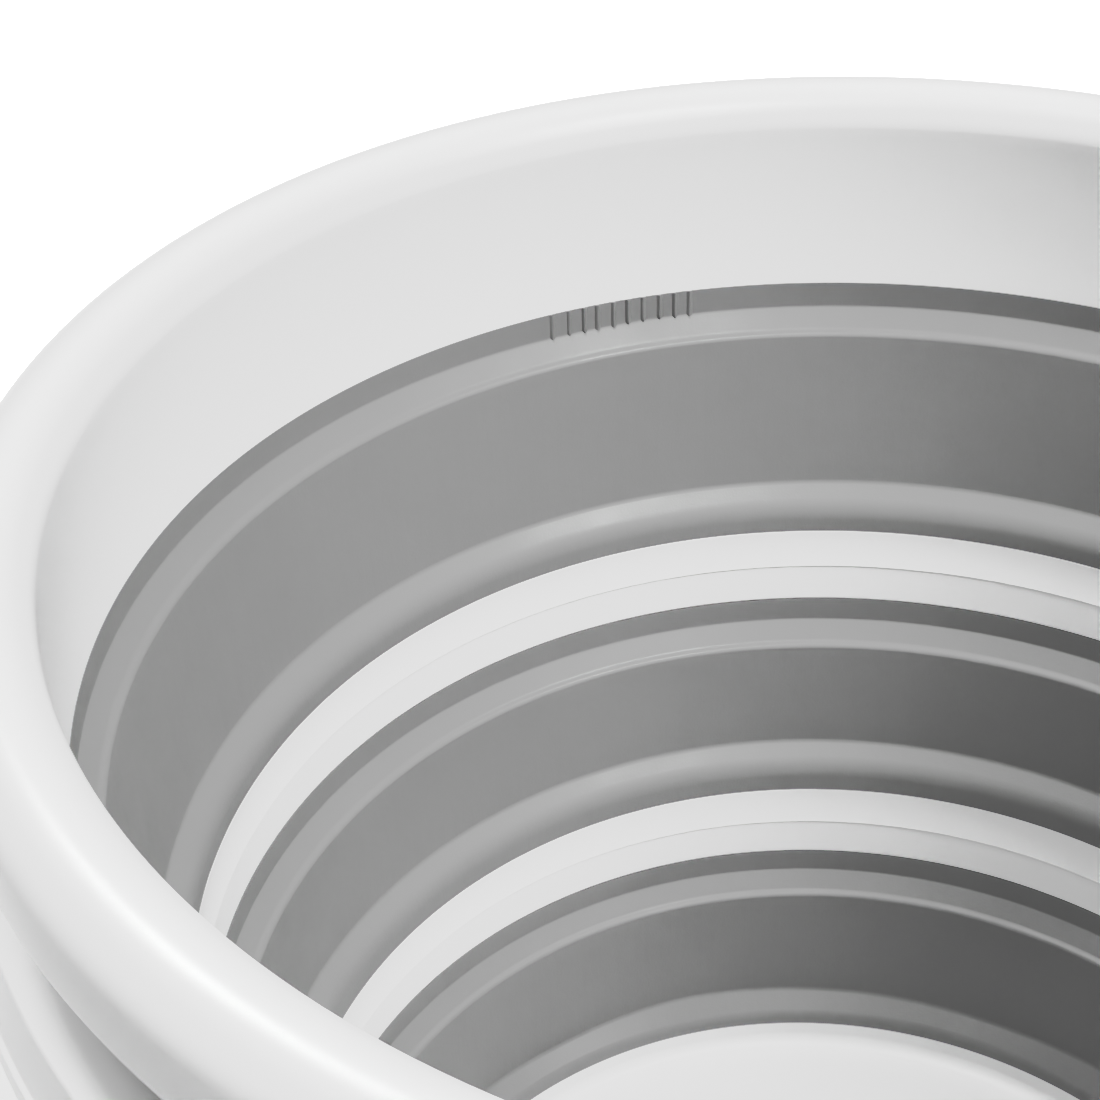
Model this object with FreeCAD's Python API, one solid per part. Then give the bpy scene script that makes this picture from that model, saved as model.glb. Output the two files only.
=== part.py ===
"""Collapsible round foot spa basin: three folding bands between a tray, two rings and a rolled rim.

All sizes are in millimetres. The origin is on the floor, on the basin's axis, with +Z up. The carry
handle lies folded down round the back of the rim (+Y) and swings on pins at the left and right (X).
"""
import FreeCAD, Part
import math
import os

Vec = FreeCAD.Vector
AXIS = Vec(0, 0, 1)
CENTRE = Vec(0, 0, 0)

# --- driving dimensions -----------------------------------------------------------------------

PLASTIC = 3.0                 # wall of the rigid white parts
RUBBER = 2.4                  # wall of the folding bands, measured along the radius

# Heights of the stages, from the tray's rim upwards
TRAY_TOP = 20.0
LOWER_BAND = 60.2
LOWER_RING = 23.6
MIDDLE_BAND = 59.9
UPPER_RING = 22.6
UPPER_BAND = 69.6

# Inner radii of the rigid parts
TRAY_RADIUS = 126.0
LOWER_RING_FOOT, LOWER_RING_HEAD = 139.8, 141.0
UPPER_RING_FOOT, UPPER_RING_HEAD = 155.6, 157.2
LIP_RADIUS = 175.0

RING_WALL = 3.6
RING_RIDGE = 0.5              # how far the ridge at mid-height stands into the basin

# A folding band, from its top: a collar strip, a sloping shoulder, the wide wall, a sloping ledge
# and a foot strip
COLLAR_STRIP = 7.0
SHOULDER_IN, SHOULDER_DOWN = 5.4, 5.8
LEDGE_IN, LEDGE_DOWN = 5.6, 5.7
STRIP_LEAN = 0.4              # a strip's lean towards the axis
FOOT_STRIPS = {"lower": 3.4, "middle": 8.2, "upper": 7.0}

# Rolled rim: two tangent arcs above the inner wall, measured up from the lip
ROLL_INNER_RADIUS = 9.6
ROLL_OUTER_RADIUS = 11.4
ROLL_CENTRE = (183.75, 43.7)  # centre of the outer arc
ROLL_BLEND_ANGLE = 42.0       # where the two arcs meet, above the horizontal
WALL_HOLLOW = 0.9             # how far the inner wall is dished outwards at mid-height
BEAD_EDGE = 32.0              # height of the bead's lower edge
BEAD_EDGE_ROUND = 1.4

# Nearly flat shoulder under the bead, the skirt below it and the skirt's stepped flange. The
# heights are above the lip.
SHOULDER_RADIUS, SHOULDER_HEIGHT = 194.1, 3.5
SHOULDER_NECK_HEIGHT = 6.0
NECK_FILLET = 2.0
SKIRT_FOOT_RADIUS = 196.9
FLANGE_RADIUS = 198.0
FLANGE_TOP, FLANGE_BOTTOM = -7.5, -14.0

# Tray
FLOOR_TOP = 12.0
FLOOR_CORNER = 8.0            # inside rounding between the floor and the wall
FOOT_RING_INNER, FOOT_RING_OUTER = 117.0, 128.0
FOOT_RING_BOTTOM = 3.0
RIB_COUNT = 6
RIB_THICKNESS = 2.0
RIB_BOTTOM = 4.0
HUB_RADIUS = 22.0

# Non-slip feet: curved pads round the foot ring, and a round pad under the hub
FOOT_COUNT = 6
FOOT_SPAN = 32.0              # degrees
FOOT_INNER, FOOT_OUTER = 119.0, 126.0
FOOT_POCKET = 1.2
HUB_PAD_RADIUS = 18.0

# Carry handle
BACK = 90                     # the angle of the handle's middle as it lies folded, from +X
HANDLE_INNER, HANDLE_OUTER = 200.2, 208.2
HANDLE_HALF_HEIGHT = 5.4
PIVOT_HEIGHT = 2.5            # above the lip
EYE_RADIUS = 9.0
EYE_START, EYE_END = 199.0, 208.2
PIN_RADIUS = 3.0
PIN_RUNNING_GAP = 0.08
PIN_HEAD_RADIUS, PIN_HEAD = 5.5, 2.0
PIN_ROOT = 190.6
BOSS_RADIUS = 8.5
BOSS_ROOT, BOSS_END = 186.0, 198.6

# Rest lugs, each side of both pivots: the folded handle lies over the two at the back or the front
LUG_ANGLES = (20, 160, 200, 340)
LUG_SPAN = 3.6                # degrees
LUG_ROOT, LUG_END = 194.0, 207.5
LUG_GAP = 0.5                 # under the handle
LUG_END_HEIGHT = 3.0

# Handle grip
GRIP_SPAN = 46.0              # degrees
GRIP_CORE_INNER, GRIP_CORE_OUTER = 202.2, 206.4
GRIP_CORE_HALF_HEIGHT = 3.6
GRIP_OUTER = 210.2
GRIP_HALF_HEIGHT = 6.6

# Massage rollers, in two lift-out cradles
CRADLE_OFFSET = 43.0          # from the axis to the middle of each cradle
CRADLE_SHIFT = -8.0           # along Y, towards the front
CRADLE_WIDTH, CRADLE_LENGTH = 70.0, 122.0
RAIL_THICKNESS = 6.0
RAIL_BOTTOM, RAIL_TOP = 12.4, 27.0
END_BAR = 5.0
END_BAR_TOP = 20.0
CORNER_BLOCK = 12.0
STUD_RADIUS, STUD_TOP = 3.0, 17.0
STUD_GAP = 0.2
STUD_SOCKET_TOP = 17.6
ROLLER_COUNT = 4
ROLLER_PITCH = 25.0
ROLLER_LENGTH = 54.0
ROLLER_VALLEY, ROLLER_PEAK = 6.8, 9.0
ROLLER_LOBES = 6
ROLLER_HEIGHT = 22.4          # height of the axles
AXLE_RADIUS = 1.5
AXLE_RUNNING_GAP = 0.08

# --- derived places ---------------------------------------------------------------------------

LOWER_RING_Z = TRAY_TOP + LOWER_BAND
MIDDLE_BAND_Z = LOWER_RING_Z + LOWER_RING
UPPER_RING_Z = MIDDLE_BAND_Z + MIDDLE_BAND
UPPER_BAND_Z = UPPER_RING_Z + UPPER_RING
LIP_Z = UPPER_BAND_Z + UPPER_BAND
PIVOT_Z = LIP_Z + PIVOT_HEIGHT
NECK_RADIUS = (ROLL_CENTRE[0] + (ROLL_OUTER_RADIUS - ROLL_INNER_RADIUS)
               * math.cos(math.radians(ROLL_BLEND_ANGLE)) - ROLL_INNER_RADIUS + PLASTIC)
CRADLES = {"left": -CRADLE_OFFSET, "right": CRADLE_OFFSET}


# --- helpers ----------------------------------------------------------------------------------

def at(radius, height):
    """A point of a turned section."""
    return Vec(radius, 0, height)


def on_circle(centre, radius, angle):
    """A point on a circle in the section's plane, its angle in degrees above the horizontal."""
    turn = math.radians(angle)
    return at(centre[0] + radius * math.cos(turn), centre[1] + radius * math.sin(turn))


def line(start, end):
    return Part.LineSegment(start, end).toShape()


def arc(start, middle, end):
    return Part.Arc(start, middle, end).toShape()


def polyline(points):
    return [line(a, b) for a, b in zip(points, points[1:])]


def turned(edges):
    """Turn a closed section in the XZ plane about the basin's axis."""
    face = Part.Face(Part.Wire(edges))
    return face.revolve(CENTRE, AXIS, 360)


def disc(radius, bottom, top):
    """A plain disc on the basin's axis."""
    return Part.makeCylinder(radius, top - bottom, Vec(0, 0, bottom))


def sector(outline, middle_angle, span):
    """A stretch of a turned outline, its middle at an angle measured from +X."""
    points = [at(radius, z) for radius, z in outline + outline[:1]]
    stretch = Part.Face(Part.Wire(polyline(points))).revolve(CENTRE, AXIS, span)
    stretch.rotate(CENTRE, AXIS, middle_angle - span / 2)
    return stretch


def ring_sector(inner, outer, bottom, top, middle_angle, span):
    """A stretch of a plain ring."""
    outline = [(inner, bottom), (outer, bottom), (outer, top), (inner, top)]
    return sector(outline, middle_angle, span)


def cross_cylinder(radius, start_x, end_x, y, z):
    """A cylinder along X between two values of X."""
    return Part.makeCylinder(radius, end_x - start_x, Vec(start_x, y, z), Vec(1, 0, 0))


def block(width, length, bottom, top, x, y):
    """An upright box, centred on x and y."""
    return Part.makeBox(width, length, top - bottom, Vec(x - width / 2, y - length / 2, bottom))


def fuse_all(shapes):
    return shapes[0].multiFuse(shapes[1:]).removeSplitter()


# --- folding bands and rings ------------------------------------------------------------------

def folding_band(foot_radius, foot_z, head_radius, head_z, foot_strip):
    """A band whose wide wall stands between a sloping shoulder above and a sloping ledge below."""
    ledge_foot = foot_radius + STRIP_LEAN
    shoulder_head = head_radius - STRIP_LEAN
    inside = [
        (foot_radius, foot_z),
        (ledge_foot, foot_z + foot_strip),
        (ledge_foot + LEDGE_IN, foot_z + foot_strip + LEDGE_DOWN),
        (shoulder_head - SHOULDER_IN, head_z - COLLAR_STRIP - SHOULDER_DOWN),
        (shoulder_head, head_z - COLLAR_STRIP),
        (head_radius, head_z),
    ]
    outside = [(radius + RUBBER, z) for radius, z in reversed(inside)]
    outline = [at(radius, z) for radius, z in inside + outside + inside[:1]]
    return turned(polyline(outline))


def stiffening_ring(foot_radius, foot_z, head_radius, head_z):
    """A rigid ring, with a faint ridge at mid-height inside and rounded corners outside."""
    middle = (foot_radius + head_radius) / 2 - RING_RIDGE
    outline = [
        (foot_radius, foot_z),
        (foot_radius + RING_WALL, foot_z),
        (head_radius + RING_WALL, head_z),
        (head_radius, head_z),
        (middle, (foot_z + head_z) / 2),
        (foot_radius, foot_z),
    ]
    return turned(polyline([at(radius, z) for radius, z in outline]))


# --- rim --------------------------------------------------------------------------------------

def rim_collar():
    """The rolled rim: the inner wall above the lip, the hollow bead and the neck behind them."""
    outer_centre = (ROLL_CENTRE[0], LIP_Z + ROLL_CENTRE[1])
    shift = ROLL_OUTER_RADIUS - ROLL_INNER_RADIUS
    blend = math.radians(ROLL_BLEND_ANGLE)
    inner_centre = (outer_centre[0] + shift * math.cos(blend), outer_centre[1] + shift * math.sin(blend))

    def roll(depth):
        """The two arcs of the roll, seen from its inside edge to its outside edge."""
        small, large = ROLL_INNER_RADIUS - depth, ROLL_OUTER_RADIUS - depth
        start = on_circle(inner_centre, small, 180)
        meet = on_circle(inner_centre, small, ROLL_BLEND_ANGLE)
        end = on_circle(outer_centre, large, 0)
        crown = on_circle(inner_centre, small, (180 + ROLL_BLEND_ANGLE) / 2)
        flank = on_circle(outer_centre, large, ROLL_BLEND_ANGLE / 2)
        return start, crown, meet, flank, end

    start, crown, meet, flank, end = roll(0)
    hollow_start, hollow_crown, hollow_meet, hollow_flank, hollow_end = roll(PLASTIC)
    lip = at(LIP_RADIUS, LIP_Z)
    dish = at((LIP_RADIUS + start.x) / 2 + WALL_HOLLOW, (LIP_Z + start.z) / 2)
    edge_z = LIP_Z + BEAD_EDGE
    edge_out = at(end.x, edge_z + BEAD_EDGE_ROUND)
    edge_mid = on_circle((end.x - BEAD_EDGE_ROUND, edge_z + BEAD_EDGE_ROUND), BEAD_EDGE_ROUND, -45)
    edge_under = at(end.x - BEAD_EDGE_ROUND, edge_z)
    edges = [
        arc(lip, dish, start),
        arc(start, crown, meet),
        arc(meet, flank, end),
        line(end, edge_out),
        arc(edge_out, edge_mid, edge_under),
    ]
    edges += polyline([edge_under, at(hollow_end.x, edge_z), hollow_end])
    edges += [
        arc(hollow_end, hollow_flank, hollow_meet),
        arc(hollow_meet, hollow_crown, at(NECK_RADIUS, hollow_start.z)),
    ]
    edges += polyline([at(NECK_RADIUS, hollow_start.z), at(NECK_RADIUS, LIP_Z), lip])
    return turned(edges)


def rest_lug(angle):
    """A gusset on the skirt that the folded handle lies over."""
    top = PIVOT_Z - HANDLE_HALF_HEIGHT - LUG_GAP
    outline = [
        (LUG_ROOT, LIP_Z + FLANGE_BOTTOM),
        (FLANGE_RADIUS, LIP_Z + FLANGE_BOTTOM),
        (LUG_END, top - LUG_END_HEIGHT),
        (LUG_END, top),
        (LUG_ROOT, top),
    ]
    return sector(outline, angle, LUG_SPAN)


def rim_skirt():
    """The shoulder round the neck, the skirt with its flange, two pivot bosses and the rest lugs."""
    outline = [
        (NECK_RADIUS, LIP_Z + SHOULDER_NECK_HEIGHT + NECK_FILLET),
        (NECK_RADIUS + NECK_FILLET, LIP_Z + SHOULDER_NECK_HEIGHT),
        (SHOULDER_RADIUS, LIP_Z + SHOULDER_HEIGHT),
        (SKIRT_FOOT_RADIUS, LIP_Z + FLANGE_TOP),
        (FLANGE_RADIUS, LIP_Z + FLANGE_TOP),
        (FLANGE_RADIUS, LIP_Z + FLANGE_BOTTOM),
        (FLANGE_RADIUS - PLASTIC, LIP_Z + FLANGE_BOTTOM),
        (SHOULDER_RADIUS - PLASTIC, LIP_Z + SHOULDER_HEIGHT - PLASTIC),
        (NECK_RADIUS, LIP_Z + SHOULDER_NECK_HEIGHT - PLASTIC),
    ]
    pieces = [turned(polyline([at(radius, z) for radius, z in outline + outline[:1]]))]
    pieces += [rest_lug(angle) for angle in LUG_ANGLES]
    for side in (-1, 1):
        root, end_x = sorted((side * BOSS_ROOT, side * BOSS_END))
        pieces.append(cross_cylinder(BOSS_RADIUS, root, end_x, 0, PIVOT_Z))
    skirt = fuse_all(pieces)
    for side in (-1, 1):
        root, end_x = sorted((side * PIN_ROOT, side * BOSS_END))
        skirt = skirt.cut(cross_cylinder(PIN_RADIUS, root, end_x, 0, PIVOT_Z))
    return skirt


# --- carry handle -----------------------------------------------------------------------------

def carry_handle():
    """A half ring with an eye at each end; its middle is a thinner core inside the grip."""
    bottom, top = PIVOT_Z - HANDLE_HALF_HEIGHT, PIVOT_Z + HANDLE_HALF_HEIGHT
    bow = ring_sector(HANDLE_INNER, HANDLE_OUTER, bottom, top, BACK, 180)
    grip_room = ring_sector(HANDLE_INNER - 1, HANDLE_OUTER + 1, bottom - 1, top + 1, BACK, GRIP_SPAN)
    core = ring_sector(GRIP_CORE_INNER, GRIP_CORE_OUTER, PIVOT_Z - GRIP_CORE_HALF_HEIGHT,
                       PIVOT_Z + GRIP_CORE_HALF_HEIGHT, BACK, GRIP_SPAN)
    handle = bow.cut(grip_room).fuse(core)
    for side in (-1, 1):
        start, end = sorted((side * EYE_START, side * EYE_END))
        handle = handle.fuse(cross_cylinder(EYE_RADIUS, start, end, 0, PIVOT_Z))
    for side in (-1, 1):
        start, end = sorted((side * (EYE_START - 1), side * (EYE_END + 1)))
        bore = cross_cylinder(PIN_RADIUS + PIN_RUNNING_GAP, start, end, 0, PIVOT_Z)
        handle = handle.cut(bore)
    return handle.removeSplitter()


def handle_grip():
    """A soft sleeve on the handle's core, flush with the handle's inner face."""
    sleeve = ring_sector(HANDLE_INNER, GRIP_OUTER, PIVOT_Z - GRIP_HALF_HEIGHT,
                         PIVOT_Z + GRIP_HALF_HEIGHT, BACK, GRIP_SPAN)
    core = ring_sector(GRIP_CORE_INNER, GRIP_CORE_OUTER, PIVOT_Z - GRIP_CORE_HALF_HEIGHT,
                       PIVOT_Z + GRIP_CORE_HALF_HEIGHT, BACK, GRIP_SPAN + 2)
    return sleeve.cut(core)


def handle_pivot_pins():
    """Two headed pins, each pressed into the rim's boss."""
    pins = []
    for side in (-1, 1):
        root, shank_end = sorted((side * PIN_ROOT, side * (EYE_END + 0.2)))
        shank = cross_cylinder(PIN_RADIUS, root, shank_end, 0, PIVOT_Z)
        head_start, head_end = sorted((side * (EYE_END + 0.2), side * (EYE_END + 0.2 + PIN_HEAD)))
        head = cross_cylinder(PIN_HEAD_RADIUS, head_start, head_end, 0, PIVOT_Z)
        pins.append(shank.fuse(head).removeSplitter())
    return Part.makeCompound(pins)


# --- tray -------------------------------------------------------------------------------------

def cradle_corners(middle_x):
    """The middles of a cradle's four corner blocks."""
    reach_x = (CRADLE_WIDTH - CORNER_BLOCK) / 2
    reach_y = (CRADLE_LENGTH - CORNER_BLOCK) / 2
    return [(middle_x + i * reach_x, CRADLE_SHIFT + j * reach_y) for i in (-1, 1) for j in (-1, 1)]


def foot_angles():
    return [30 + index * 360 / FOOT_COUNT for index in range(FOOT_COUNT)]


def tray_base():
    """A shallow tray with a foot ring, ribs under its floor and studs for the cradles."""
    corner_start = at(TRAY_RADIUS, FLOOR_TOP + FLOOR_CORNER)
    corner_centre = (TRAY_RADIUS - FLOOR_CORNER, FLOOR_TOP + FLOOR_CORNER)
    corner_end = at(TRAY_RADIUS - FLOOR_CORNER, FLOOR_TOP)
    floor_bottom = FLOOR_TOP - PLASTIC
    edges = [arc(corner_start, on_circle(corner_centre, FLOOR_CORNER, -45), corner_end)]
    edges += polyline([
        corner_end,
        at(0, FLOOR_TOP),
        at(0, floor_bottom),
        at(FOOT_RING_INNER, floor_bottom),
        at(FOOT_RING_INNER, FOOT_RING_BOTTOM),
        at(FOOT_RING_OUTER, FOOT_RING_BOTTOM),
        at(TRAY_RADIUS + PLASTIC, TRAY_TOP),
        corner_start,
    ])
    pieces = [turned(edges)]
    pieces.append(disc(HUB_RADIUS, FOOT_RING_BOTTOM, floor_bottom))
    rib_length = FOOT_RING_INNER + 1 - HUB_RADIUS
    for index in range(RIB_COUNT):
        rib = Part.makeBox(rib_length, RIB_THICKNESS, floor_bottom - RIB_BOTTOM,
                           Vec(HUB_RADIUS - 0.5, -RIB_THICKNESS / 2, RIB_BOTTOM))
        rib.rotate(CENTRE, AXIS, index * 360 / RIB_COUNT)
        pieces.append(rib)
    for middle_x in CRADLES.values():
        for x, y in cradle_corners(middle_x):
            pieces.append(Part.makeCylinder(STUD_RADIUS, STUD_TOP - floor_bottom - 1,
                                            Vec(x, y, floor_bottom + 1)))
    tray = fuse_all(pieces)
    pockets = [
        ring_sector(FOOT_INNER, FOOT_OUTER, FOOT_RING_BOTTOM, FOOT_RING_BOTTOM + FOOT_POCKET,
                    angle, FOOT_SPAN)
        for angle in foot_angles()
    ]
    pockets.append(disc(HUB_PAD_RADIUS, FOOT_RING_BOTTOM, FOOT_RING_BOTTOM + FOOT_POCKET))
    return tray.cut(pockets)


def non_slip_feet():
    """Six curved pads seated in the foot ring's pockets and a round one in the hub's."""
    pads = [
        ring_sector(FOOT_INNER, FOOT_OUTER, 0, FOOT_RING_BOTTOM + FOOT_POCKET, angle, FOOT_SPAN)
        for angle in foot_angles()
    ]
    pads.append(disc(HUB_PAD_RADIUS, 0, FOOT_RING_BOTTOM + FOOT_POCKET))
    return Part.makeCompound(pads)


# --- massage rollers --------------------------------------------------------------------------

def roller_rows():
    """The Y of each roller's axle."""
    first = CRADLE_SHIFT - (ROLLER_COUNT - 1) * ROLLER_PITCH / 2
    return [first + index * ROLLER_PITCH for index in range(ROLLER_COUNT)]


def roller_cradle(middle_x):
    """Two side rails that hold the axles, two end bars, and corner blocks that fit the studs."""
    rail_x = (CRADLE_WIDTH - RAIL_THICKNESS) / 2
    bar_y = (CRADLE_LENGTH - END_BAR) / 2
    pieces = []
    for side in (-1, 1):
        pieces.append(block(RAIL_THICKNESS, CRADLE_LENGTH, RAIL_BOTTOM, RAIL_TOP,
                            middle_x + side * rail_x, CRADLE_SHIFT))
        pieces.append(block(CRADLE_WIDTH, END_BAR, RAIL_BOTTOM, END_BAR_TOP,
                            middle_x, CRADLE_SHIFT + side * bar_y))
    for x, y in cradle_corners(middle_x):
        pieces.append(block(CORNER_BLOCK, CORNER_BLOCK, RAIL_BOTTOM, END_BAR_TOP, x, y))
    cradle = fuse_all(pieces)
    sockets = [
        Part.makeCylinder(STUD_RADIUS + STUD_GAP, STUD_SOCKET_TOP - RAIL_BOTTOM + 1,
                          Vec(x, y, RAIL_BOTTOM - 1))
        for x, y in cradle_corners(middle_x)
    ]
    bores = [
        cross_cylinder(AXLE_RADIUS, middle_x - CRADLE_WIDTH / 2 + 1, middle_x + CRADLE_WIDTH / 2 - 1,
                       y, ROLLER_HEIGHT)
        for y in roller_rows()
    ]
    return cradle.cut(sockets + bores)


def roller_axles(middle_x):
    """Four pins, pressed into blind bores in the side rails."""
    half = CRADLE_WIDTH / 2 - 1
    return Part.makeCompound([
        cross_cylinder(AXLE_RADIUS, middle_x - half, middle_x + half, y, ROLLER_HEIGHT)
        for y in roller_rows()
    ])


def massage_roller(middle_x, y):
    """A lobed roller with a through bore, lying along X."""
    bore = AXLE_RADIUS + AXLE_RUNNING_GAP
    lobe = ROLLER_LENGTH / ROLLER_LOBES
    start = -ROLLER_LENGTH / 2
    edges = []
    for index in range(ROLLER_LOBES):
        foot = start + index * lobe
        edges.append(arc(at(ROLLER_VALLEY, foot), at(ROLLER_PEAK, foot + lobe / 2),
                         at(ROLLER_VALLEY, foot + lobe)))
    end = start + ROLLER_LENGTH
    edges += polyline([at(ROLLER_VALLEY, end), at(bore, end), at(bore, start), at(ROLLER_VALLEY, start)])
    roller = turned(edges)
    roller.rotate(CENTRE, Vec(0, 1, 0), 90)
    roller.translate(Vec(middle_x, y, ROLLER_HEIGHT))
    return roller


# --- build ------------------------------------------------------------------------------------

def build():
    parts = {
        "tray_base": tray_base(),
        "non_slip_feet": non_slip_feet(),
        "bellows_lower": folding_band(TRAY_RADIUS, TRAY_TOP, LOWER_RING_FOOT, LOWER_RING_Z,
                                      FOOT_STRIPS["lower"]),
        "ring_lower": stiffening_ring(LOWER_RING_FOOT, LOWER_RING_Z, LOWER_RING_HEAD, MIDDLE_BAND_Z),
        "bellows_middle": folding_band(LOWER_RING_HEAD, MIDDLE_BAND_Z, UPPER_RING_FOOT, UPPER_RING_Z,
                                       FOOT_STRIPS["middle"]),
        "ring_upper": stiffening_ring(UPPER_RING_FOOT, UPPER_RING_Z, UPPER_RING_HEAD, UPPER_BAND_Z),
        "bellows_upper": folding_band(UPPER_RING_HEAD, UPPER_BAND_Z, LIP_RADIUS, LIP_Z,
                                      FOOT_STRIPS["upper"]),
        "rim_collar": rim_collar(),
        "rim_skirt": rim_skirt(),
        "carry_handle": carry_handle(),
        "handle_grip": handle_grip(),
        "handle_pivot_pins": handle_pivot_pins(),
    }
    for side, middle_x in CRADLES.items():
        parts["roller_cradle_" + side] = roller_cradle(middle_x)
        parts["roller_axles_" + side] = roller_axles(middle_x)
        for number, y in enumerate(roller_rows(), start=1):
            parts["massage_roller_%s_%d" % (side, number)] = massage_roller(middle_x, y)
    return parts


os.makedirs("parts", exist_ok=True)
for node, shape in build().items():
    shape.exportStep("parts/%s.step" % node)
    print(node, len(shape.Solids), "solids, valid", shape.isValid(), "volume %.0f mm3" % shape.Volume)
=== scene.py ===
"""Looks for the collapsible foot spa basin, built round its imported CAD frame.

Lengths in outlines are millimetres, as in the part's own source, and become metres as meshes are made.
The basin's axis is Z. Angles about it are in degrees from +X towards +Y, so the back (+Y) is 90.
"""
import math
import random

import bmesh
import bpy
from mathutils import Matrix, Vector


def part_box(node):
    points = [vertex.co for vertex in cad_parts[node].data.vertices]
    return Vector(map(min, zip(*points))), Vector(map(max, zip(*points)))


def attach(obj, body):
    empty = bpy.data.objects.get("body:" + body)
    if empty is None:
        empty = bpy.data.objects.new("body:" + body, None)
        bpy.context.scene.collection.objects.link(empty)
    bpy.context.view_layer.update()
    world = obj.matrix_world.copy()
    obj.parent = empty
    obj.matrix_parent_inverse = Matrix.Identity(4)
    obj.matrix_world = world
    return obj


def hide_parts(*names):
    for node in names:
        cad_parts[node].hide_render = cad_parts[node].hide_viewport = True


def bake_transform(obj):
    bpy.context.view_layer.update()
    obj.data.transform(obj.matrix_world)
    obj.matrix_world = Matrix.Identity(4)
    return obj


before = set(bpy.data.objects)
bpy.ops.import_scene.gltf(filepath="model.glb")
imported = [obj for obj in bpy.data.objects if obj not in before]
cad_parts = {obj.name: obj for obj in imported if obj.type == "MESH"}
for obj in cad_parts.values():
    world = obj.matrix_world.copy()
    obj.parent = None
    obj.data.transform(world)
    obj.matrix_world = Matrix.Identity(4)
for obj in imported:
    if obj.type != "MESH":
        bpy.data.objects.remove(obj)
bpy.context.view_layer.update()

MM = 0.001


def top(node):
    """A node's highest point, in millimetres."""
    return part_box(node)[1].z / MM


def foot(node):
    """A node's lowest point, in millimetres."""
    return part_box(node)[0].z / MM


# --- sizes ------------------------------------------------------------------------------------

PLASTIC = 3.0
RUBBER = 2.4
LIP_Z = top("bellows_upper")
PIVOT_Z = (top("carry_handle") + foot("carry_handle")) / 2
TRAY_TOP = foot("bellows_lower")
LIP_RADIUS = 175.0
TRAY_RADIUS = 126.0
LOWER_RING_FOOT, LOWER_RING_HEAD = 139.8, 141.0
UPPER_RING_FOOT, UPPER_RING_HEAD = 155.6, 157.2
RING_WALL = 3.6
HANDLE_HALF_HEIGHT = 5.4

ROUND_STEPS = 256              # segments round the basin
FINE_STEP = 0.06               # degrees between segments where small ribs stand


# --- outlines ---------------------------------------------------------------------------------

def arc(centre, radius, start, end, steps=12):
    """Points along an arc; angles in degrees above the horizontal."""
    points = []
    for index in range(steps + 1):
        angle = math.radians(start + (end - start) * index / steps)
        points.append((centre[0] + radius * math.cos(angle), centre[1] + radius * math.sin(angle)))
    return points


def bowed(start, end, bow, steps=8):
    """Points along a shallow curve from start to end, bowed to the left by bow at its middle."""
    along = (end[0] - start[0], end[1] - start[1])
    length = math.hypot(*along)
    side = (-along[1] / length, along[0] / length)
    points = []
    for index in range(steps + 1):
        share = index / steps
        push = 4 * bow * share * (1 - share)
        points.append((start[0] + along[0] * share + side[0] * push,
                       start[1] + along[1] * share + side[1] * push))
    return points


def rounded(corners, step=9.0):
    """Round a closed outline. Each corner is (radius from the axis, height, rounding)."""
    points = []
    count = len(corners)
    for index, (x, z, rounding) in enumerate(corners):
        here = Vector((x, z))
        before = Vector(corners[index - 1][:2]) - here
        after = Vector(corners[(index + 1) % count][:2]) - here
        turn = math.pi - before.angle(after)
        if rounding <= 0 or turn < 0.01:
            points.append((x, z))
            continue
        reach = min(rounding * math.tan(turn / 2), 0.49 * before.length, 0.49 * after.length)
        radius = reach / math.tan(turn / 2)
        centre = here + (before.normalized() + after.normalized()).normalized() * math.hypot(reach, radius)
        start = here + before.normalized() * reach - centre
        end = here + after.normalized() * reach - centre
        steps = max(2, round(math.degrees(turn) / step))
        sweep = start.angle_signed(end)
        for part in range(steps + 1):
            angle = -sweep * part / steps
            cos, sin = math.cos(angle), math.sin(angle)
            points.append((centre.x + start.x * cos - start.y * sin,
                           centre.y + start.x * sin + start.y * cos))
    return points


# --- meshes -----------------------------------------------------------------------------------

def new_piece(name, mesh_builder, material, angle=32.0):
    """A smooth-shaded object from a bmesh."""
    bmesh.ops.recalc_face_normals(mesh_builder, faces=mesh_builder.faces)
    mesh = bpy.data.meshes.new(name)
    mesh_builder.to_mesh(mesh)
    mesh_builder.free()
    piece = bpy.data.objects.new(name, mesh)
    bpy.context.scene.collection.objects.link(piece)
    mesh.materials.append(material)
    soften(piece, angle)
    return piece


def soften(piece, angle):
    """Smooth shading that keeps flat faces flat and edges sharper than the angle crisp."""
    piece.data.polygons.foreach_set("use_smooth", [True] * len(piece.data.polygons))
    piece.data.set_sharp_from_angle(angle=math.radians(angle))
    weighted = piece.modifiers.new("even_shading", "WEIGHTED_NORMAL")
    weighted.keep_sharp = True
    weighted.weight = 60


def bridge(builder, loops, closed):
    """Quads between neighbouring loops of vertices, each loop closed on itself."""
    pairs = list(zip(loops, loops[1:]))
    if closed:
        pairs.append((loops[-1], loops[0]))
    for first, second in pairs:
        count = len(first)
        for index in range(count):
            following = (index + 1) % count
            builder.faces.new((first[index], first[following], second[following], second[index]))
    if not closed:
        builder.faces.new(loops[0])
        builder.faces.new(list(reversed(loops[-1])))


def round_angles(fine=None):
    """Angles once round the axis, closer together inside the fine stretch (start, end)."""
    angles = [360 * index / ROUND_STEPS for index in range(ROUND_STEPS)]
    if fine:
        count = round((fine[1] - fine[0]) / FINE_STEP)
        angles = [angle for angle in angles if not fine[0] <= angle <= fine[1]]
        angles += [fine[0] + (fine[1] - fine[0]) * index / count for index in range(count + 1)]
    return sorted(angles)


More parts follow.
